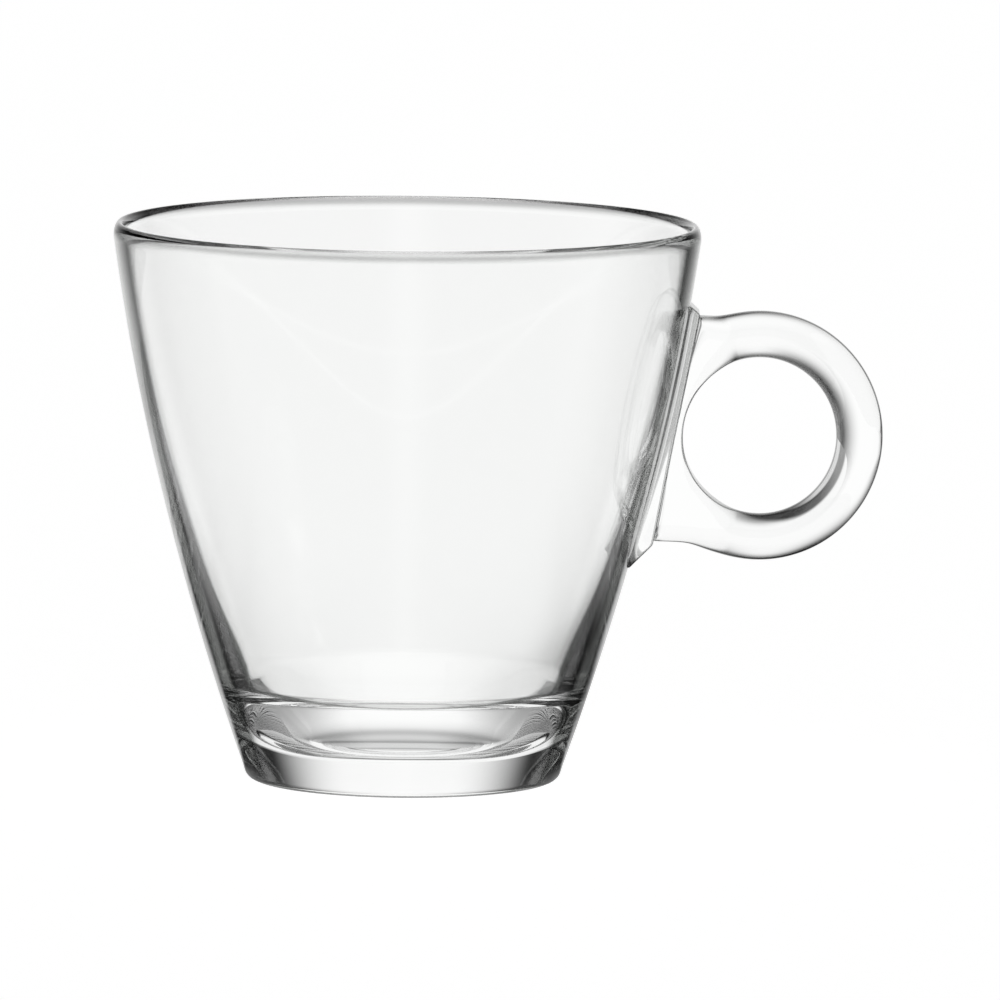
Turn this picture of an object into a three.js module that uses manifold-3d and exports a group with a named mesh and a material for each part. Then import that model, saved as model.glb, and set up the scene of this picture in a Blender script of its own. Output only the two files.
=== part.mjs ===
// Glass espresso cup: a pressed bowl with a heavy base, a weld pad on its wall and a ring handle.
// Millimetres, +Z up. The origin is the centre of the underside, and +X points to the handle.

import * as THREE from 'three';
import { mergeVertices } from 'three/addons/utils/BufferGeometryUtils.js';
import Module from 'manifold-3d';

// Bowl, outside: leans are degrees from upright, where the wall leaves the foot and meets the lip
const height = 61.2;
const rimRadius = 32.15;
const lipHalfWidth = 0.65;
const lipRise = 1.4;
const rimLean = 8.1;
const footRadius = 17.4;
const footCorner = 1.3;
const footLean = 19.6;

// Bowl, inside: the floor is level in the middle, bends up to a flare and meets the wall at a corner
const floorThickness = 4.75;
const floorLevel = 5.4;
const floorBend = 12.0;
const flareSlope = 34;
const flareRadius = 16.6;
const floorCorner = 3.5;
const innerRimLean = 6.5;
const innerFloorLean = 21.7;

// Ring handle: the ring is an oval, so its hole has a width and a height
const ringDrop = 22.9;
const ringBand = 5.1;
const ringDepth = 6.0;
const crownFlat = 0.7;
const edgeFlat = 1.0;
const holeHalfWidth = 8.4;
const holeHalfHeight = 8.6;

// The handle's foot: its web is the glass left beside the hole, and insets are from the ring's highest and
// lowest points
const footWeb = 0.7;
const footTopInset = 0.6;
const footBottomInset = 2.1;
const footBlend = 4.0;
const footFlare = 1.4;

// Weld pad: how far the handle's foot stands off the wall, and how steeply the pad's ends run back to it
const padWidth = 6.8;
const padTopProud = 1.2;
const padBottomProud = 1.9;
const padTopMargin = 0.3;
const padBottomMargin = 0.4;
const padTopSlope = 42;
const padBottomSlope = 44;
const padEdge = 0.5;

// Clearance that stands for the fused welds
const weldGap = 0.3;

// How far the blanks run past the faces that trim them
const overrun = 8.0;

// Facets
const bowlSegments = 72;
const curveSteps = 5;
const ringSteps = 24;
const roundSteps = 4;

const degrees = Math.PI / 180;

// The ring's outer size and height, and the heights between which the pad carries the foot
const ringHalfWidth = holeHalfWidth + ringBand;
const ringHalfHeight = holeHalfHeight + ringBand;
const ringZ = height - ringDrop;
const footTop = ringZ + ringHalfHeight - footTopInset;
const footBottom = ringZ - ringHalfHeight + footBottomInset;
const seamTop = footTop + padTopMargin;
const seamBottom = footBottom - padBottomMargin;

const wasm = await Module();
wasm.setup();

function glass() {
  return new THREE.MeshStandardMaterial({ color: 0xeef2f0, roughness: 0.02, metalness: 0 });
}

// A closed geometry as a solid: shared corners merged, and slivers at the poles left out
function solidFrom(geometry) {
  geometry.deleteAttribute('normal');
  geometry.deleteAttribute('uv');
  const merged = mergeVertices(geometry);
  const corners = merged.index.array;
  const triangles = [];
  for (let i = 0; i < corners.length; i += 3) {
    const [a, b, c] = corners.slice(i, i + 3);
    if (a !== b && b !== c && c !== a) {
      triangles.push(a, b, c);
    }
  }
  return new wasm.Manifold(new wasm.Mesh({
    numProp: 3,
    vertProperties: merged.attributes.position.array,
    triVerts: new Uint32Array(triangles),
  }));
}

function meshFrom(solid, name) {
  const { vertProperties, triVerts } = solid.getMesh();
  const geometry = new THREE.BufferGeometry();
  geometry.setAttribute('position', new THREE.BufferAttribute(vertProperties, 3));
  geometry.setIndex(new THREE.BufferAttribute(triVerts, 1));
  geometry.computeVertexNormals();
  const mesh = new THREE.Mesh(geometry, glass());
  mesh.name = name;
  return mesh;
}

// A half section turned about the cup's axis
function turned(points) {
  const geometry = new THREE.LatheGeometry(points, bowlSegments);
  geometry.rotateX(Math.PI / 2);
  return solidFrom(geometry);
}

// A side view in X and Z, carried across the cup's middle plane with rounded edges
function acrossMiddle(shape, depth, steps, round, crown) {
  const straight = depth - 2 * crown;
  const geometry = new THREE.ExtrudeGeometry(shape, {
    depth: straight,
    steps: 1,
    curveSegments: steps,
    bevelSize: round,
    bevelOffset: -round,
    bevelThickness: crown,
    bevelSegments: roundSteps,
  });
  geometry.translate(0, 0, -straight / 2);
  geometry.rotateX(Math.PI / 2);
  return solidFrom(geometry);
}

function onEllipse(x, y, halfWidth, halfHeight, angle) {
  return new THREE.Vector2(x + halfWidth * Math.cos(angle), y + halfHeight * Math.sin(angle));
}

// Where two lines cross that lean outwards by these angles, one through each point
function leanCrossing(low, lowLean, high, highLean) {
  const lowSlope = Math.tan(lowLean);
  const highSlope = Math.tan(highLean);
  const rise = (high.x - low.x - highSlope * (high.y - low.y)) / (lowSlope - highSlope);
  return new THREE.Vector2(low.x + lowSlope * rise, low.y + rise);
}

// The lip is half an oval, taller than it is wide. A leaning wall meets it where the two have the same
// direction, at an angle from the lip's level middle line.
const lipX = rimRadius - lipHalfWidth;
const lipZ = height - lipRise;

function lipAngle(lean) {
  return Math.atan((lipRise / lipHalfWidth) * Math.tan(lean));
}

function onLip(angle) {
  return onEllipse(lipX, lipZ, lipHalfWidth, lipRise, angle);
}

// The outer wall's curve: where it leaves the foot, where its end tangents cross, and where it meets the lip
function outerWall() {
  const lowLean = footLean * degrees;
  const highLean = rimLean * degrees;
  const low = onEllipse(footRadius - footCorner, footCorner, footCorner, footCorner, -lowLean);
  const high = onLip(-lipAngle(highLean));
  return { low, bend: leanCrossing(low, lowLean, high, highLean), high };
}

// The outer wall's radius at a height
function wallRadius(z) {
  const { low, bend, high } = outerWall();
  const square = low.y - 2 * bend.y + high.y;
  const linear = 2 * (bend.y - low.y);
  const t = (2 * (z - low.y)) / (linear + Math.sqrt(linear ** 2 + 4 * square * (z - low.y)));
  return (1 - t) ** 2 * low.x + 2 * t * (1 - t) * bend.x + t ** 2 * high.x;
}

// The outside of the bowl's half section, from the axis under the foot to the start of the lip
function outsideOutline() {
  const { bend, high } = outerWall();
  const footX = footRadius - footCorner;
  const outline = new THREE.Path();
  outline.moveTo(0, 0);
  outline.lineTo(footX, 0);
  outline.absarc(footX, footCorner, footCorner, -Math.PI / 2, -footLean * degrees, false);
  outline.quadraticCurveTo(bend.x, bend.y, high.x, high.y);
  return outline;
}

// The whole half section: outside, over the round lip, down the inside and across the floor to the axis
function bowlOutline() {
  const lowLean = innerFloorLean * degrees;
  const highLean = innerRimLean * degrees;
  const slope = flareSlope * degrees;
  const lipStart = -lipAngle(rimLean * degrees);
  const lipEnd = Math.PI - lipAngle(highLean);
  const bendZ = floorThickness + floorBend;
  const flareLow = onEllipse(floorLevel, bendZ, floorBend, floorBend, slope - Math.PI / 2);
  const flareZ = flareLow.y + (flareRadius - flareLow.x) * Math.tan(slope);
  const cornerX = flareRadius - floorCorner * Math.sin(slope);
  const cornerZ = flareZ + floorCorner * Math.cos(slope);
  const high = onLip(lipEnd);
  const low = onEllipse(cornerX, cornerZ, floorCorner, floorCorner, -lowLean);
  const bend = leanCrossing(low, lowLean, high, highLean);
  const outline = outsideOutline();
  outline.absellipse(lipX, lipZ, lipHalfWidth, lipRise, lipStart, lipEnd, false);
  outline.quadraticCurveTo(bend.x, bend.y, low.x, low.y);
  outline.absarc(cornerX, cornerZ, floorCorner, -lowLean, slope - Math.PI / 2, true);
  outline.absarc(floorLevel, bendZ, floorBend, slope - Math.PI / 2, -Math.PI / 2, true);
  outline.lineTo(0, floorThickness);
  return outline;
}

// The space that the bowl fills from outside, grown by a clearance, which trims what is welded to it
function bowlEnvelope(clearance) {
  const points = outsideOutline().getPoints(curveSteps);
  const grown = points.slice(1).map((point) => new THREE.Vector2(point.x + clearance, point.y));
  const top = grown[grown.length - 1].y;
  return turned([points[0], ...grown, new THREE.Vector2(0, top)]);
}

// The seam plane, where the pad carries the foot, runs between two points off the wall
const seamHigh = new THREE.Vector2(wallRadius(seamTop) + padTopProud, seamTop);
const seamLow = new THREE.Vector2(wallRadius(seamBottom) + padBottomProud, seamBottom);
const seamLean = Math.atan2(seamHigh.x - seamLow.x, seamHigh.y - seamLow.y);

// How far out the seam plane lies at a height
function seamAt(z) {
  return seamLow.x + Math.tan(seamLean) * (z - seamLow.y);
}

// The ring stands where its hole leaves the web's thickness, square to the seam plane
const holeReach = Math.hypot(holeHalfWidth * Math.cos(seamLean), holeHalfHeight * Math.sin(seamLean));
const ringX = seamAt(ringZ) + (holeReach + footWeb) / Math.cos(seamLean);

// The side of the seam plane towards the bowl, which trims the handle's foot
function seamBlock() {
  const side = 2 * height;
  const geometry = new THREE.BoxGeometry(side, side, side);
  geometry.translate(-side / 2, 0, 0);
  geometry.rotateY(seamLean);
  geometry.translate(seamHigh.x, 0, seamHigh.y);
  return solidFrom(geometry);
}

// The pad's side view: its face lies a weld's clearance behind the seam plane
function padShape() {
  const setBack = weldGap / Math.cos(seamLean);
  const upward = overrun * Math.tan(padTopSlope * degrees);
  const downward = overrun * Math.tan(padBottomSlope * degrees);
  const shape = new THREE.Shape();
  shape.moveTo(seamLow.x - setBack, seamLow.y);
  shape.lineTo(seamHigh.x - setBack, seamHigh.y);
  shape.lineTo(seamHigh.x - setBack - overrun, seamHigh.y + upward);
  shape.lineTo(seamLow.x - setBack - overrun, seamLow.y - downward);
  shape.closePath();
  return shape;
}

// The ring with its foot: level under the foot, a hollow blend to the ring, and a small flare above
function handleShape() {
  const onRing = (angle) => onEllipse(ringX, ringZ, ringHalfWidth, ringHalfHeight, angle);
  const underAngle = Math.PI + Math.asin((ringZ - footBottom) / ringHalfHeight);
  const blendAngle = underAngle + footBlend / ringHalfWidth;
  const flareAngle = Math.acos((seamAt(footTop) + footFlare - ringX) / ringHalfWidth);
  const under = onRing(underAngle);
  const blend = onRing(blendAngle);
  const flare = onRing(flareAngle);
  const shape = new THREE.Shape();
  shape.moveTo(seamAt(footBottom) - overrun, footBottom);
  shape.lineTo(under.x - footBlend, footBottom);
  shape.quadraticCurveTo(under.x, under.y, blend.x, blend.y);
  shape.absellipse(ringX, ringZ, ringHalfWidth, ringHalfHeight, blendAngle, flareAngle + 2 * Math.PI, false);
  shape.quadraticCurveTo(seamAt(footTop), flare.y, seamAt(footTop), footTop);
  shape.lineTo(seamAt(footTop) - overrun, footTop);
  shape.closePath();
  const hole = new THREE.Path();
  hole.absellipse(ringX, ringZ, holeHalfWidth, holeHalfHeight, 0, 2 * Math.PI, true);
  shape.holes.push(hole);
  return shape;
}

const bowl = turned(bowlOutline().getPoints(curveSteps));

const padBlank = acrossMiddle(padShape(), padWidth, 1, padEdge, padEdge);
const pad = padBlank.subtract(bowlEnvelope(weldGap));

const ringRound = (ringBand - crownFlat) / 2;
const ringCrown = (ringDepth - edgeFlat) / 2;
const handleBlank = acrossMiddle(handleShape(), ringDepth, ringSteps, ringRound, ringCrown);
const handle = handleBlank.subtract(seamBlock());

const cup = new THREE.Group();
cup.add(meshFrom(bowl, 'bowl'));
cup.add(meshFrom(pad, 'handle_pad'));
cup.add(meshFrom(handle, 'ring_handle'));

export default cup;
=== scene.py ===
import math
import bpy
import numpy as np
from mathutils import Euler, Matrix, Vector


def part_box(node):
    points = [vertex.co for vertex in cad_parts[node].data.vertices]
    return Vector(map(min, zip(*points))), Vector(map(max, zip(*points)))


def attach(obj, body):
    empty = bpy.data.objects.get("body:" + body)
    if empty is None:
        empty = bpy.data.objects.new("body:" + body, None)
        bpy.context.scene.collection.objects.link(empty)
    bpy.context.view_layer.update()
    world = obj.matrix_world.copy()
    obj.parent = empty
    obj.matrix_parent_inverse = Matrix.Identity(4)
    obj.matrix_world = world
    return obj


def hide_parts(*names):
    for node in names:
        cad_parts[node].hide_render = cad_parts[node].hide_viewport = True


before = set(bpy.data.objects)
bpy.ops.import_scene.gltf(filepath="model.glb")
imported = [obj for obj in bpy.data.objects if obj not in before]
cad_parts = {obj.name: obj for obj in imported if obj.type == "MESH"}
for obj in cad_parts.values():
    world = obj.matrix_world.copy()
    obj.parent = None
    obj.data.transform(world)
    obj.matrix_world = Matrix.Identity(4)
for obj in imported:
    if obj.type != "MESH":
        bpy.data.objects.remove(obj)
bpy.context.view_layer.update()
mm = 0.001
sharpFrom = 35.0  # degrees: edges that turn by more than this stay crisp
print("frame loaded:", ", ".join(sorted(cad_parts)))


# Shared helpers for outlines and meshes

def arcPoints(centre, radius, start, end, steps):
    # a circle's arc about centre, from one angle to another, in degrees from the first axis
    angles = np.radians(np.linspace(start, end, steps + 1))
    return np.stack([centre[0] + radius * np.cos(angles), centre[1] + radius * np.sin(angles)], -1)


def wallCurve(low, lowLean, high, highLean, steps):
    # the parabola that leaves both points at their leans, in degrees from upright: its middle control
    # point is where the two end tangents cross, p = (1-t)^2 low + 2t(1-t) bend + t^2 high
    lowSlope, highSlope = np.tan(np.radians([lowLean, highLean]))
    rise = (high[0] - low[0] - highSlope * (high[1] - low[1])) / (lowSlope - highSlope)
    bend = np.array([low[0] + lowSlope * rise, low[1] + rise])
    t = np.linspace(0, 1, steps + 1)[:, None]
    return (1 - t) ** 2 * low + 2 * t * (1 - t) * bend + t ** 2 * high


def softMax(a, b, width):
    # the larger of two values, with the crossing rounded over about this width
    return 0.5 * (a + b + np.sqrt((a - b) ** 2 + width ** 2))


def softMin(a, b, width):
    return -softMax(-a, -b, width)


def smooth(value):
    # 3t^2 - 2t^3, with the value held between 0 and 1
    t = np.clip(value, 0, 1)
    return t ** 2 * (3 - 2 * t)


def gridMesh(name, points, closeRows=False, poles=()):
    # points[row, column] is a surface whose columns run round and close; its rows close as well,
    # or end in a pole at each end
    rows, columns = points.shape[:2]
    index = np.arange(rows * columns).reshape(rows, columns)
    low = index if closeRows else index[:-1]
    high = np.roll(index, -1, 0) if closeRows else index[1:]
    quads = np.stack([low, np.roll(low, -1, 1), np.roll(high, -1, 1), high], -1).reshape(-1, 4)
    faces = quads.tolist()
    vertices = points.reshape(-1, 3)
    if len(poles):
        first, last = rows * columns, rows * columns + 1
        start, end = index[0], index[-1]
        faces += np.stack([np.full(columns, first), np.roll(start, -1), start], -1).tolist()
        faces += np.stack([np.full(columns, last), end, np.roll(end, -1)], -1).tolist()
        vertices = np.concatenate([vertices, np.array(poles)])
    mesh = bpy.data.meshes.new(name)
    mesh.from_pydata(vertices, [], faces)
    mesh.polygons.foreach_set("use_smooth", np.ones(len(faces), bool))
    mesh.update()
    mesh.set_sharp_from_angle(angle=math.radians(sharpFrom))
    return mesh


def placePiece(name, mesh, material, node):
    mesh.materials.append(material)
    piece = bpy.data.objects.new(name, mesh)
    bpy.context.scene.collection.objects.link(piece)
    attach(piece, "root")
    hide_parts(node)
    print("piece:", name, len(mesh.vertices), "points")


# Shared helpers for node trees

def addNode(tree, kind, **inputs):
    # an input is named, or numbered as i0, i1 and so on, and takes a value or another node's output
    node = tree.nodes.new(kind)
    for name, value in inputs.items():
        socket = node.inputs[int(name[1:])] if name[0] == "i" and name[1:].isdigit() else node.inputs[name]
        if isinstance(value, bpy.types.NodeSocket):
            tree.links.new(value, socket)
        else:
            socket.default_value = value
    return node


def calc(tree, operation, *values):
    node = addNode(tree, "ShaderNodeMath", **{f"i{k}": value for k, value in enumerate(values)})
    node.operation = operation
    return node.outputs[0]


def times(tree, first, *others):
    for other in others:
        first = calc(tree, "MULTIPLY", first, other)
    return first


def most(tree, first, *others):
    for other in others:
        first = calc(tree, "MAXIMUM", first, other)
    return first


def oneLess(tree, value):
    return calc(tree, "SUBTRACT", 1.0, value)


def step(tree, value, low, high):
    # a smooth rise from 0 to 1 between two values
    node = addNode(tree, "ShaderNodeMapRange", i0=value, i1=low, i2=high)
    node.interpolation_type = "SMOOTHSTEP"
    return node.outputs[0]


def bell(tree, value, width):
    # exp(-(value/width)^2)
    part = calc(tree, "DIVIDE", value, width)
    return calc(tree, "EXPONENT", times(tree, part, part, -1.0))


def fromAxis(tree, x, y):
    return calc(tree, "SQRT", calc(tree, "MULTIPLY_ADD", x, x, times(tree, y, y)))


def blend(tree, part, first, second):
    # first where part is 0, second where it is 1
    return addNode(tree, "ShaderNodeMix", i0=part, i2=first, i3=second).outputs[0]


def blendColour(tree, part, first, second):
    node = tree.nodes.new("ShaderNodeMix")
    node.data_type = "RGBA"
    tree.links.new(part, node.inputs[0])
    for socket, value in ((node.inputs[6], first), (node.inputs[7], second)):
        if isinstance(value, bpy.types.NodeSocket):
            tree.links.new(value, socket)
        else:
            socket.default_value = (*value, 1)
    return node.outputs[2]


def emptyMaterial(name):
    material = bpy.data.materials.new(name)
    material.use_nodes = True
    material.node_tree.nodes.clear()
    return material


# Glass

glass = {
    "ior": 1.5,
    "tint": (0.992, 0.996, 0.992),
    # painted shade: the colour the glass takes where it is seen edge on, standing in for the dark edges of
    # thick glass
    "paintedEdgeShade": (0.06, 0.063, 0.06),
    "edgeFrom": (0.52, 0.645),  # how edge on the outside starts to darken, low and high on the wall
    "edgeHeights": (10.0 * mm, 38.0 * mm),
    "edgeSoft": 0.08,
    "innerFrom": (0.68, 0.88),  # the same on the inside
    "innerHeights": (12.0 * mm, 25.0 * mm),
    "innerDepth": (0.3 * mm, 0.8 * mm),  # how far under the outer wall a surface counts as the inside
    # painted shade: the colour of a dark line along the top of the lip
    "paintedLipShade": (0.38, 0.38, 0.38),
    "lipLevel": (60.42 * mm, 61.05 * mm),  # the lip's darker line, outside and inside
    "lipWidth": (0.36 * mm, 1.0 * mm),  # its width, seen square and edge on
    "lipEdge": (0.3, 0.8),
    "waveScale": 90.0,
    "waveDepth": 0.002 * mm,
    "shadowTint": (0.80, 0.81, 0.80),
}


def makeGlass(name, outside):
    # clear glass, with painted shade where it is seen edge on and a painted dark line along the top of the
    # lip, and faint waves from pressing. outside is the outer wall's radius as a cubic in z, its highest
    # power first
    material = emptyMaterial(name)
    tree = material.node_tree
    place = addNode(tree, "ShaderNodeTexCoord").outputs["Object"]
    x, y, height = addNode(tree, "ShaderNodeSeparateXYZ", Vector=place).outputs
    wall = outside[0]
    for factor in outside[1:]:
        wall = calc(tree, "MULTIPLY_ADD", wall, height, factor)
    under = step(tree, calc(tree, "SUBTRACT", wall, fromAxis(tree, x, y)), *glass["innerDepth"])
    # painted shade: the glass's colour darkens as the surface turns edge on, from a facing that changes with
    # height and between the outside and the inside
    facing = addNode(tree, "ShaderNodeLayerWeight", Blend=0.5).outputs["Facing"]
    begin = blend(tree, step(tree, height, *glass["edgeHeights"]), *glass["edgeFrom"])
    innerBegin = blend(tree, step(tree, height, *glass["innerHeights"]), *glass["innerFrom"])
    begin = blend(tree, under, begin, innerBegin)
    edge = step(tree, calc(tree, "SUBTRACT", facing, begin), 0.0, glass["edgeSoft"])
    colour = blendColour(tree, edge, glass["tint"], glass["paintedEdgeShade"])
    # painted shade: a dark line in the glass's colour along the top of the lip, placed by height, wider and
    # darker where the lip is seen edge on
    turned = times(tree, step(tree, facing, *glass["lipEdge"]), oneLess(tree, under))
    level = blend(tree, under, *glass["lipLevel"])
    lip = bell(tree, calc(tree, "SUBTRACT", height, level), blend(tree, turned, *glass["lipWidth"]))
    colour = blendColour(tree, lip, colour, blendColour(tree, turned, glass["paintedLipShade"], glass["paintedEdgeShade"]))
    waves = addNode(tree, "ShaderNodeTexNoise", Vector=place, Scale=glass["waveScale"], Detail=1.0)
    bump = addNode(tree, "ShaderNodeBump", Strength=1.0, Distance=glass["waveDepth"], Height=waves.outputs[0])
    surface = addNode(tree, "ShaderNodeBsdfPrincipled", Roughness=0.0, IOR=glass["ior"])
    tree.links.new(colour, surface.inputs["Base Color"])
    tree.links.new(bump.outputs[0], surface.inputs["Normal"])
    surface.inputs["Transmission Weight"].default_value = 1.0
    clear = addNode(tree, "ShaderNodeBsdfTransparent", Color=(*glass["shadowTint"], 1))
    path = addNode(tree, "ShaderNodeLightPath")
    mixed = addNode(tree, "ShaderNodeMixShader", i0=path.outputs["Is Shadow Ray"],
                    i1=surface.outputs[0], i2=clear.outputs[0])
    addNode(tree, "ShaderNodeOutputMaterial", Surface=mixed.outputs[0])
    return material


# Bowl

bowl = {
    "lipHalfWidth": 0.65 * mm,
    "lipRise": 1.4 * mm,
    "rimLean": 8.1,
    "footRadius": 17.4 * mm,
    "footCorner": 1.3 * mm,
    "footLean": 19.6,
    "floorThickness": 4.75 * mm,
    "floorLevel": 5.4 * mm,
    "floorBend": 12.0 * mm,
    "flareSlope": 34.0,
    "flareRadius": 16.6 * mm,
    "floorCorner": 3.5 * mm,
    "innerRimLean": 6.5,
    "innerFloorLean": 21.7,
    "turns": 384,
    "footSteps": 16,
    "wallSteps": 56,
    "lipSteps": 48,
    "cornerSteps": 24,
    "flareSteps": 9,
    "bendSteps": 32,
    "underRings": (0.1, 0.96, 8),  # first and last as a share of the flat, and how many
    "floorRings": (0.9, 0.1, 6),
    "radiusSteps": 400,
    "fitSteps": 60,
}
bowlLow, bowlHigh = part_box("bowl")
rimRadius = -bowlLow.x
bowlHeight = bowlHigh.z


def outerWall(steps):
    # the outside from the foot's flat up: the foot's round edge, the wall and the lip
    corner = bowl["footCorner"]
    foot = arcPoints((bowl["footRadius"] - corner, corner), corner, -90, -bowl["footLean"], bowl["footSteps"])
    # the lip is half an oval: it starts and ends where its direction is that of the walls
    half, rise = bowl["lipHalfWidth"], bowl["lipRise"]
    start, end = np.arctan(rise / half * np.tan(np.radians([bowl["rimLean"], bowl["innerRimLean"]])))
    t = np.linspace(-start, math.pi - end, bowl["lipSteps"] + 1)
    lip = np.stack([rimRadius - half + half * np.cos(t), bowlHeight - rise + rise * np.sin(t)], -1)
    return foot, wallCurve(foot[-1], bowl["footLean"], lip[0], bowl["rimLean"], steps), lip


def wallRadius(z):
    # the outer wall's radius at a height
    wall = outerWall(bowl["radiusSteps"])[1]
    return np.interp(z, wall[:, 1], wall[:, 0])


wallPoints = outerWall(bowl["fitSteps"])[1]
clearGlass = makeGlass("clearGlass", np.polyfit(wallPoints[:, 1], wallPoints[:, 0], 3).tolist())
print("glass ready")


def bowlMesh():
    # the half section (underside, foot, wall, lip, inner wall, corner, floor) turned about Z:
    # x = r cos a, y = r sin a
    foot, wall, lip = outerWall(bowl["wallSteps"])
    bendCentre = (bowl["floorLevel"], bowl["floorThickness"] + bowl["floorBend"])
    floorBend = arcPoints(bendCentre, bowl["floorBend"], bowl["flareSlope"] - 90, -90, bowl["bendSteps"])
    slope = math.radians(bowl["flareSlope"])
    flareRun = bowl["flareRadius"] - floorBend[0, 0]
    flareZ = floorBend[0, 1] + flareRun * math.tan(slope)
    cornerCentre = (bowl["flareRadius"] - bowl["floorCorner"] * math.sin(slope),
                    flareZ + bowl["floorCorner"] * math.cos(slope))
    corner = arcPoints(cornerCentre, bowl["floorCorner"], -bowl["innerFloorLean"], bowl["flareSlope"] - 90,
                       bowl["cornerSteps"])
    inner = wallCurve(corner[0], bowl["innerFloorLean"], lip[-1], bowl["innerRimLean"], bowl["wallSteps"])
    flare = np.linspace(corner[-1], floorBend[0], bowl["flareSteps"] + 1)[1:-1]
    underRings = np.linspace(*bowl["underRings"]) * foot[0, 0]
    under = np.stack([underRings, np.zeros_like(underRings)], -1)
    floorRings = np.linspace(*bowl["floorRings"]) * bowl["floorLevel"]
    level = np.stack([floorRings, np.full_like(floorRings, bowl["floorThickness"])], -1)
    outline = np.concatenate([under, foot, wall[1:-1], lip, inner[-2:0:-1], corner, flare, floorBend, level])
    angles = np.linspace(0, 2 * math.pi, bowl["turns"], endpoint=False)
    turn = np.stack([np.cos(angles), np.sin(angles), np.zeros_like(angles)], -1)
    points = outline[:, None, :1] * turn[None]
    points[..., 2] = outline[:, None, 1]
    return gridMesh("bowlGlass", points, poles=[(0, 0, 0), (0, 0, bowl["floorThickness"])])


placePiece("bowlGlass", bowlMesh(), clearGlass, "bowl")


# Weld pad and ring handle share the seam plane, which leans with the wall

seam = {
    "top": (32.11 * mm, 51.7 * mm),
    "bottom": (27.18 * mm, 26.3 * mm),
    "overlap": 0.08 * mm,
}
seamLean = math.atan2(seam["top"][0] - seam["bottom"][0], seam["top"][1] - seam["bottom"][1])


def seamX(z):
    return seam["bottom"][0] + math.tan(seamLean) * (z - seam["bottom"][1])


pad = {
    "width": 6.8 * mm,
    "faceWidth": 5.8 * mm,
    "topSlope": 42.0,
    "bottomSlope": 44.0,
    "edge": 0.5 * mm,
    "endRound": 0.15 * mm,
    "edgeShare": 0.7,  # the rounding is at most this share of the pad's height
    "leastProud": 0.03 * mm,
    "overrun": 2.0 * mm,
    "samples": 4000,
    "levels": 300,
    "edgeSteps": 9,
    "sideSteps": 10,
    "faceSteps": 24,
}
padLow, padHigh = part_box("handle_pad")


def padMesh():
    # levels in z; at each, a loop across the width: the face with two rounded edges, the sides down to
    # the wall, and back along the wall. The face is the seam plane, cut by the two end slopes.
    z = np.linspace(padLow.z - pad["overrun"], padHigh.z + pad["overrun"], pad["samples"])
    topLine = seam["top"][0] - (z - seam["top"][1]) / math.tan(math.radians(pad["topSlope"]))
    bottomLine = seam["bottom"][0] + (z - seam["bottom"][1]) / math.tan(math.radians(pad["bottomSlope"]))
    face = softMin(seamX(z), softMin(topLine, bottomLine, pad["endRound"]), pad["endRound"])
    proud = face - wallRadius(z)
    kept = proud > pad["leastProud"]
    level = np.linspace(z[kept][0], z[kept][-1], pad["levels"])
    face = np.interp(level, z, face)[:, None]
    proud = np.interp(level, z, proud)[:, None]
    edge = np.minimum(pad["edge"], pad["edgeShare"] * proud)
    half = pad["width"] / 2
    wall = wallRadius(level)[:, None]
    wallEdge = np.sqrt(wall ** 2 - half ** 2) - seam["overlap"]
    slope = (half - pad["faceWidth"] / 2) / (face - wallEdge)
    faceHalf = half - slope * (face - wallEdge)
    draft = np.arctan(slope)
    turn = np.linspace(0, 1, pad["edgeSteps"] + 1)[None] * (math.pi / 2 - draft)
    sideStep = np.linspace(0, 1, pad["sideSteps"] + 1)[None, 1:]
    flat = np.linspace(-1, 1, pad["faceSteps"] + 1)[None, 1:-1]
    pull = edge * np.tan((math.pi / 2 - draft) / 2)
    rightY = faceHalf - pull + edge * np.sin(turn)
    rightX = face - edge + edge * np.cos(turn)
    downX = rightX[:, -1:] + (wallEdge - rightX[:, -1:]) * sideStep
    downY = rightY[:, -1:] + (half - rightY[:, -1:]) * sideStep
    backY = -flat * half + 0 * face
    backX = np.sqrt(wall ** 2 - backY ** 2) - seam["overlap"]
    flatY = flat * (faceHalf - pull)
    flatX = face + 0 * flatY
    y = np.concatenate([flatY, rightY, downY, backY, -downY[:, ::-1], -rightY[:, ::-1]], 1)
    x = np.concatenate([flatX, rightX, downX, backX, downX[:, ::-1], rightX[:, ::-1]], 1)
    points = np.stack([x, y, level[:, None] + 0 * x], -1)
    return gridMesh("handlePadGlass", points, poles=[points[0].mean(0), points[-1].mean(0)])


placePiece("handlePadGlass", padMesh(), clearGlass, "handle_pad")


ring = {
    "hole": (8.4 * mm, 8.6 * mm),
    "inset": 0.05 * mm,
    "band": 5.1 * mm,
    "depth": 6.0 * mm,
    "footTop": 51.4 * mm,
    "footBottom": 26.7 * mm,
    "flareBlend": 0.5 * mm,
    "footBlend": 0.8 * mm,
    "cornerBlend": 0.2 * mm,
    "footTurn": (0.12, 0.4),  # where the foot's edges take over: the cosine they start from, and the run
    "leastRise": 0.2,
    "leastFacing": 0.05,
    "unreached": 1.0,  # metres, for directions that never meet the seam plane
    "innerShare": 0.85,
    "shareBlend": 0.2 * mm,
    "roundness": 2.05,
    "footSquareness": 8.0,
    "squareSpan": (75.0, 35.0),  # degrees from the foot's middle to where the section is round, and the run
    "steps": 720,
    "sectionSteps": 72,
}
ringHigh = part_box("ring_handle")[1]


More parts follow.
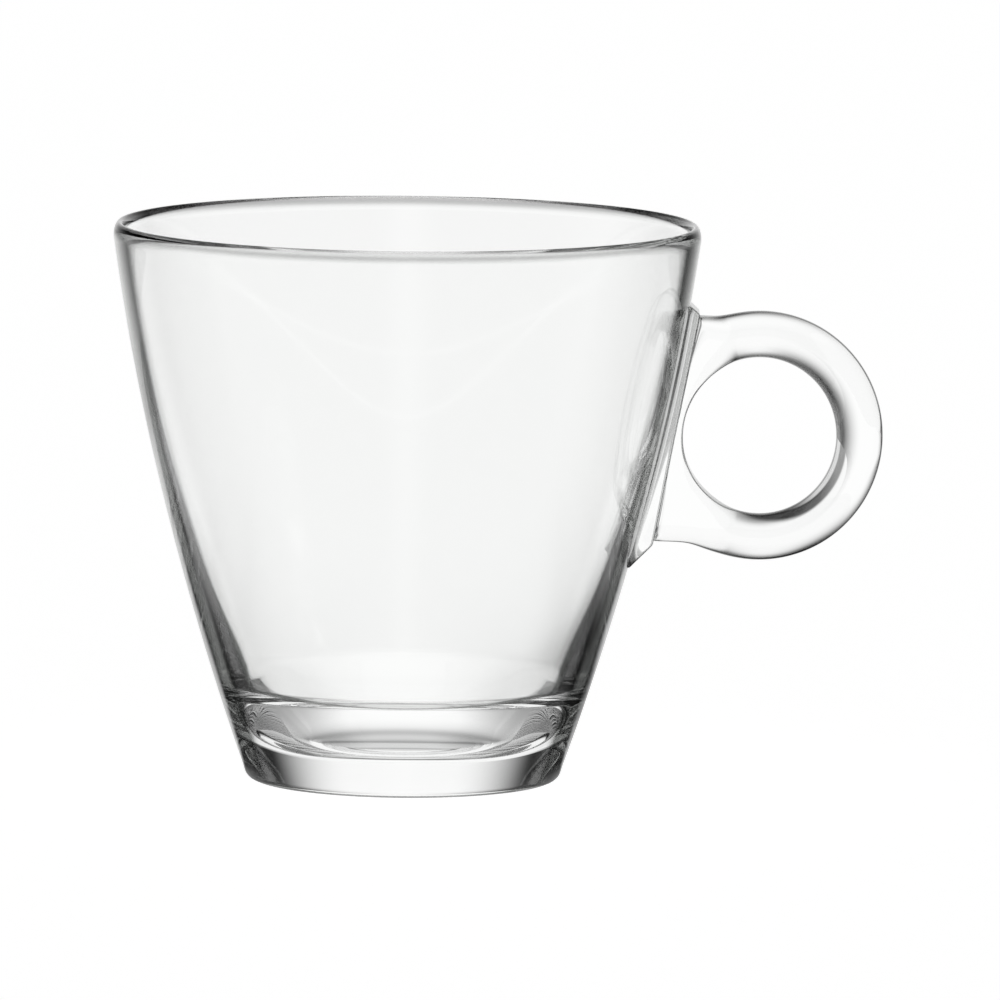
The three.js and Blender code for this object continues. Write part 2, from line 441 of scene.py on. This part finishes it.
def ringMesh():
    # polar about the hole's centre: the hole's oval inside; outside the larger of the ring's oval and
    # the foot's straight edges, cut by the seam plane. Each section is a superellipse across the depth.
    holeX, holeZ = ring["hole"]
    outerX, outerZ = holeX + ring["band"], holeZ + ring["band"]
    centreX, centreZ = ringHigh.x - outerX - ring["inset"], ringHigh.z - outerZ - ring["inset"]
    angle = np.linspace(0, 2 * math.pi, ring["steps"], endpoint=False)
    cosA, sinA = np.cos(angle), np.sin(angle)
    inner = 1 / np.hypot(cosA / holeX, sinA / holeZ)
    outer = 1 / np.hypot(cosA / outerX, sinA / outerZ)
    footStart, footRun = ring["footTurn"]
    footSide = smooth((-cosA - footStart) / footRun)
    underneath = (centreZ - ring["footBottom"]) / np.maximum(-sinA, ring["leastRise"])
    above = (ring["footTop"] - centreZ) / np.maximum(sinA, ring["leastRise"])
    lowerFoot = softMax(outer, underneath, ring["footBlend"])
    upperFoot = softMax(outer, above, ring["flareBlend"])
    outer = outer + footSide * (np.where(sinA < 0, lowerFoot, upperFoot) - outer)
    toSeam = (centreX - seamX(centreZ)) * math.cos(seamLean) + seam["overlap"]
    facing = -cosA * math.cos(seamLean) + sinA * math.sin(seamLean)
    least = ring["leastFacing"]
    seamReach = np.where(facing > least, toSeam / np.maximum(facing, least), ring["unreached"])
    outer = softMin(outer, seamReach, ring["cornerBlend"])
    thick = outer - inner
    innerHalf = softMin(ring["band"] / 2, ring["innerShare"] * thick, ring["shareBlend"])
    outerHalf = thick - innerHalf
    squareEnd, squareRun = np.radians(ring["squareSpan"])
    onFoot = smooth((squareEnd - np.abs(angle - math.pi)) / squareRun)
    power = 2 / (ring["roundness"] + (ring["footSquareness"] - ring["roundness"]) * onFoot)[:, None]
    section = np.linspace(0, 2 * math.pi, ring["sectionSteps"], endpoint=False)[None]
    cosS, sinS = np.cos(section), np.sin(section)
    reach = np.where(cosS > 0, outerHalf[:, None], -innerHalf[:, None]) * np.abs(cosS) ** power
    along = (inner + innerHalf)[:, None] + reach
    y = ring["depth"] / 2 * np.sign(sinS) * np.abs(sinS) ** power
    points = np.stack([centreX + along * cosA[:, None], y, centreZ + along * sinA[:, None]], -1)
    return gridMesh("ringHandleGlass", points, closeRows=True)


placePiece("ringHandleGlass", ringMesh(), clearGlass, "ring_handle")


# Camera: the photograph's angle, taken as a square picture

camera = {
    "elevation": 6.674,
    "distance": 1538.5 * mm,
    "roll": 0.58,
    "lens": 505.5,
    "sensor": 36.0,
    "aim": (10.4 * mm, 0.0, 30.82 * mm),
    "clip": (0.05, 20.0),
}


def makeCamera():
    data = bpy.data.cameras.new("camera")
    data.lens, data.sensor_width = camera["lens"], camera["sensor"]
    data.clip_start, data.clip_end = camera["clip"]
    lift = math.radians(camera["elevation"])
    away = Vector((0, -math.cos(lift), math.sin(lift)))
    holder = bpy.data.objects.new("camera", data)
    holder.location = Vector(camera["aim"]) + away * camera["distance"]
    tilt = Euler((math.pi / 2 - lift, 0, 0)).to_matrix()
    roll = Euler((0, 0, math.radians(camera["roll"]))).to_matrix()
    holder.rotation_euler = (tilt @ roll).to_euler()
    bpy.context.scene.collection.objects.link(holder)
    bpy.context.scene.camera = holder


makeCamera()


# Studio: the camera sees a white floor and a white surround. The glass sees patterns of light in their place,
# so that it shows a bright field with dark edges

floorLight = {
    "apex": 23.0 * mm,  # how far in front of the axis the bright wedge behind the cup starts
    "backEdge": (26.0, 33.0),  # degrees, where the wedge fades
    "nearWiden": 4.5,
    "nearReach": (45.0 * mm, 100.0 * mm),
    "back": 1.0,
    "farDark": (201.0 * mm, 206.0 * mm),  # past the light panel the floor is dark
    "farShare": 0.3,
    "turnover": (-5.0 * mm, 5.0 * mm),
    "frontWidth": 42.0,
    "front": 0.80,
    "frontEnd": (-45.0 * mm, 15.0 * mm),
    "frontReach": (24.0 * mm, 58.0 * mm),
    "frontFar": 0.93,
    "sideWidth": 20.0,
    "side": 0.65,
    "sideReach": (40.0 * mm, 62.0 * mm),
    "least": (0.04, 0.30),  # near the cup and far from it
    "leastReach": (60.0 * mm, 160.0 * mm),
    "outerFrom": 29.0 * mm,  # the outer floor is lit past lines that leave the wall here
    "outerEdge": (36.0, 43.0),  # degrees of those lines, where the light rises
    "outerReach": (40.0 * mm, 90.0 * mm),
    "outer": 0.78,
    "underMiddle": (0.70, 0.40),
    "middleSpan": (3.0 * mm, 9.0 * mm),
    "underEdge": (1.0, 0.35),
    "edgeSpan": (6.0 * mm, 16.0 * mm),
    "underRing": (9.5 * mm, 12.5 * mm),
    "underLines": ((10.6 * mm, 0.35), (9.25 * mm, 0.5), (6.3 * mm, 0.45)),  # radius and depth of each
    "lineWidth": 0.45 * mm,
    "footEdge": (17.6 * mm, 20.5 * mm),
    "shadowPlace": (42.0 * mm, 30.0 * mm),
    "shadowSize": (17.0 * mm, 25.0 * mm),
    "shadowDepth": 0.96,
}


def newPattern(name):
    # a node group that turns a place or a direction into a brightness
    group = bpy.data.node_groups.new(name, "ShaderNodeTree")
    group.interface.new_socket(name="Vector", in_out="INPUT", socket_type="NodeSocketVector")
    group.interface.new_socket(name="Brightness", in_out="OUTPUT", socket_type="NodeSocketFloat")
    entry = group.nodes.new("NodeGroupInput")
    axes = addNode(group, "ShaderNodeSeparateXYZ", Vector=entry.outputs["Vector"])
    x, y, z = axes.outputs
    return group, x, y, z, calc(group, "ABSOLUTE", x), calc(group, "ABSOLUTE", y)


def endPattern(group, value):
    leave = group.nodes.new("NodeGroupOutput")
    group.links.new(value, leave.inputs["Brightness"])
    return group


def floorPattern():
    # round the cup: a bright wedge behind, a lit front, a lobe to each side and a lit floor farther out, with
    # dark diagonals between, and a shadow behind the handle. Under the foot: a disc with thin darker rings
    light = floorLight
    group, x, y, z, aside, ahead = newPattern("floorPattern")
    reach = fromAxis(group, x, y)
    beyond = step(group, y, *light["farDark"])
    fade = blend(group, beyond, 1.0, light["farShare"])

    wedge = calc(group, "ARCTAN2", aside, calc(group, "ADD", ahead, light["apex"]))
    wider = blend(group, step(group, reach, *light["nearReach"]), math.radians(light["nearWiden"]), 0.0)
    wedge = step(group, calc(group, "SUBTRACT", wedge, wider), *np.radians(light["backEdge"]))
    wedge = times(group, oneLess(group, wedge), blend(group, beyond, light["back"], 0.0))

    bearing = calc(group, "ARCTAN2", aside, ahead)
    lobe = times(group, bell(group, bearing, math.radians(light["frontWidth"])), light["front"])
    along = blend(group, step(group, y, *light["turnover"]), lobe, wedge)
    before = oneLess(group, step(group, y, *light["frontEnd"]))
    frontFar = times(group, before, step(group, reach, *light["frontReach"]), light["frontFar"])

    toSide = calc(group, "ARCTAN2", ahead, aside)
    side = times(group, bell(group, toSide, math.radians(light["sideWidth"])), light["side"])
    side = times(group, side, step(group, reach, *light["sideReach"]), fade)

    fromWall = calc(group, "ARCTAN2", calc(group, "SUBTRACT", aside, light["outerFrom"]), ahead)
    outer = times(group, step(group, fromWall, *np.radians(light["outerEdge"])), light["outer"])
    outer = times(group, outer, step(group, reach, *light["outerReach"]), fade)
    least = times(group, blend(group, step(group, reach, *light["leastReach"]), *light["least"]), fade)

    lobes = most(group, along, frontFar, side, least, outer)
    acrossX = bell(group, calc(group, "SUBTRACT", x, light["shadowPlace"][0]), light["shadowSize"][0])
    acrossY = bell(group, calc(group, "SUBTRACT", y, light["shadowPlace"][1]), light["shadowSize"][1])
    shadow = times(group, acrossX, acrossY, light["shadowDepth"])
    around = times(group, lobes, oneLess(group, shadow))

    middle = blend(group, step(group, aside, *light["middleSpan"]), *light["underMiddle"])
    edge = blend(group, step(group, aside, *light["edgeSpan"]), *light["underEdge"])
    lit = blend(group, step(group, reach, *light["underRing"]), middle, edge)
    for lineRadius, depth in light["underLines"]:
        line = bell(group, calc(group, "SUBTRACT", reach, lineRadius), light["lineWidth"])
        lit = times(group, lit, calc(group, "MULTIPLY_ADD", line, -depth, 1.0))
    return endPattern(group, blend(group, step(group, reach, *light["footEdge"]), lit, around))


skyLight = {  # widths and falls in degrees
    "backWidth": 13.0,
    "turnover": (-0.05, 0.05),
    "frontWidth": 9.0,
    "front": 0.35,
    "fall": (22.0, 14.0),  # where the lobes behind and in front start to fall off, and how fast
    "sideWidth": 20.0,
    "sideTurnover": (-0.1, 0.1),
    "sides": (0.45, 0.10),  # left and right
    "sideFall": 14.0,
    "horizon": 0.14,
    "horizonFall": 8.0,
    "top": (0.55, 0.45),
    "topFrom": ((40.0, 54.0), (58.0, 72.0)),
    "least": 0.015,
}


def skyPattern():
    # by bearing: a bright lobe behind, a narrow weaker one in front and one to each side; all fall off with
    # height, the horizon behind glows a little, and the top is lit again in two steps
    light = skyLight
    group, x, y, z, aside, ahead = newPattern("skyPattern")
    lift = calc(group, "ARCSINE", z)
    fallFrom, fallWidth = np.radians(light["fall"]).tolist()
    fall = bell(group, most(group, calc(group, "SUBTRACT", lift, fallFrom), 0.0), fallWidth)
    bearing = calc(group, "ARCTAN2", aside, ahead)
    behind = step(group, y, *light["turnover"])
    back = times(group, bell(group, bearing, math.radians(light["backWidth"])), behind)
    front = times(group, bell(group, bearing, math.radians(light["frontWidth"])), light["front"])
    lobes = times(group, most(group, back, front), fall)

    toSide = calc(group, "ARCTAN2", ahead, aside)
    level = blend(group, step(group, x, *light["sideTurnover"]), *light["sides"])
    side = times(group, bell(group, toSide, math.radians(light["sideWidth"])), level)
    side = times(group, side, bell(group, lift, math.radians(light["sideFall"])))

    top, crown = [times(group, step(group, lift, *np.radians(rise)), level)
                  for rise, level in zip(light["topFrom"], light["top"])]
    glow = times(group, bell(group, lift, math.radians(light["horizonFall"])), light["horizon"], behind)
    return endPattern(group, most(group, lobes, side, calc(group, "ADD", top, crown), glow, light["least"]))


def usePattern(tree, group, coordinate):
    place = addNode(tree, "ShaderNodeTexCoord")
    node = tree.nodes.new("ShaderNodeGroup")
    node.node_tree = group
    tree.links.new(place.outputs[coordinate], node.inputs["Vector"])
    return node.outputs["Brightness"]


def bentRays(tree, path):
    # 1 for light that comes to the eye off or through the glass
    return calc(tree, "MAXIMUM", path.outputs["Is Glossy Ray"], path.outputs["Is Transmission Ray"])


paleFloor = {
    "drop": 0.1 * mm,
    "size": 6.0,
    "colour": (0.9, 0.9, 0.9),
    "glow": 0.80,
}


def makeFloor():
    half = paleFloor["size"] / 2
    corners = np.array([[-half, -half, 0], [half, -half, 0], [half, half, 0], [-half, half, 0]])
    mesh = bpy.data.meshes.new("floor")
    mesh.from_pydata(corners - [0, 0, paleFloor["drop"]], [], [[0, 1, 2, 3]])
    material = emptyMaterial("paleFloor")
    tree = material.node_tree
    path = addNode(tree, "ShaderNodeLightPath")
    glow = addNode(tree, "ShaderNodeEmission", Color=(1, 1, 1, 1), Strength=paleFloor["glow"])
    matt = addNode(tree, "ShaderNodeBsdfDiffuse", Color=(*paleFloor["colour"], 1))
    seen = addNode(tree, "ShaderNodeAddShader", i0=glow.outputs[0], i1=matt.outputs[0])
    through = addNode(tree, "ShaderNodeEmission", Strength=usePattern(tree, floorPattern(), "Object"))
    mixed = addNode(tree, "ShaderNodeMixShader", i0=bentRays(tree, path),
                    i1=seen.outputs[0], i2=through.outputs[0])
    addNode(tree, "ShaderNodeOutputMaterial", Surface=mixed.outputs[0])
    mesh.materials.append(material)
    floor = bpy.data.objects.new("floor", mesh)
    bpy.context.scene.collection.objects.link(floor)


lightPanel = {
    "distance": 200.0 * mm,
    "edge": (35.0 * mm, 165.0 * mm),
    "widen": (46.0 * mm, 8.0 * mm),  # low down it is wider, on the left and on the right
    "widenSpan": (-20.0 * mm, 20.0 * mm),
    "widenFade": (28.0 * mm, 52.0 * mm),
    "fade": (50.0 * mm, 170.0 * mm),
}


def makePanel():
    # a sheet of light standing behind the cup, fading to its sides and top; only the glass shows it
    halfWidth = lightPanel["edge"][1] + max(lightPanel["widen"])
    corners = np.array([[-1, 0, 0], [1, 0, 0], [1, 0, 1], [-1, 0, 1]])
    mesh = bpy.data.meshes.new("lightPanel")
    mesh.from_pydata(corners * [halfWidth, 0, lightPanel["fade"][1]], [], [[0, 1, 2, 3]])
    material = emptyMaterial("softLight")
    tree = material.node_tree
    place = addNode(tree, "ShaderNodeTexCoord").outputs["Object"]
    x, y, z = addNode(tree, "ShaderNodeSeparateXYZ", Vector=place).outputs
    widen = blend(tree, step(tree, x, *lightPanel["widenSpan"]), *lightPanel["widen"])
    widen = blend(tree, step(tree, z, *lightPanel["widenFade"]), widen, 0.0)
    aside = calc(tree, "SUBTRACT", calc(tree, "ABSOLUTE", x), widen)
    across = oneLess(tree, step(tree, aside, *lightPanel["edge"]))
    upward = oneLess(tree, step(tree, z, *lightPanel["fade"]))
    light = addNode(tree, "ShaderNodeEmission", Color=(1, 1, 1, 1), Strength=1.0)
    clear = addNode(tree, "ShaderNodeBsdfTransparent")
    mixed = addNode(tree, "ShaderNodeMixShader", i0=times(tree, across, upward),
                    i1=clear.outputs[0], i2=light.outputs[0])
    addNode(tree, "ShaderNodeOutputMaterial", Surface=mixed.outputs[0])
    mesh.materials.append(material)
    panel = bpy.data.objects.new("lightPanel", mesh)
    panel.location = (0, lightPanel["distance"], 0)
    panel.visible_camera = False
    panel.visible_diffuse = False
    panel.visible_shadow = False
    bpy.context.scene.collection.objects.link(panel)


surround = {
    "ambient": 0.22,
    "glassBounces": 64,  # light turns many times in the heavy base
    "clearBounces": 16,
}


def makeWorld():
    # white for the camera, plain ambient light for the floor, the sky pattern for the glass
    world = bpy.data.worlds.new("studioWorld")
    bpy.context.scene.world = world
    world.use_nodes = True
    tree = world.node_tree
    tree.nodes.clear()
    path = addNode(tree, "ShaderNodeLightPath")
    ambient = surround["ambient"]
    plain = calc(tree, "MULTIPLY_ADD", path.outputs["Is Camera Ray"], 1 - ambient, ambient)
    level = blend(tree, bentRays(tree, path), plain, usePattern(tree, skyPattern(), "Generated"))
    back = addNode(tree, "ShaderNodeBackground", Color=(1, 1, 1, 1), Strength=level)
    addNode(tree, "ShaderNodeOutputWorld", Surface=back.outputs[0])


makeFloor()
makePanel()
makeWorld()

scene = bpy.context.scene
scene.view_settings.view_transform = "Standard"
scene.cycles.max_bounces = surround["glassBounces"]
scene.cycles.transmission_bounces = surround["glassBounces"]
scene.cycles.glossy_bounces = surround["glassBounces"]
scene.cycles.transparent_max_bounces = surround["clearBounces"]
print("studio ready")
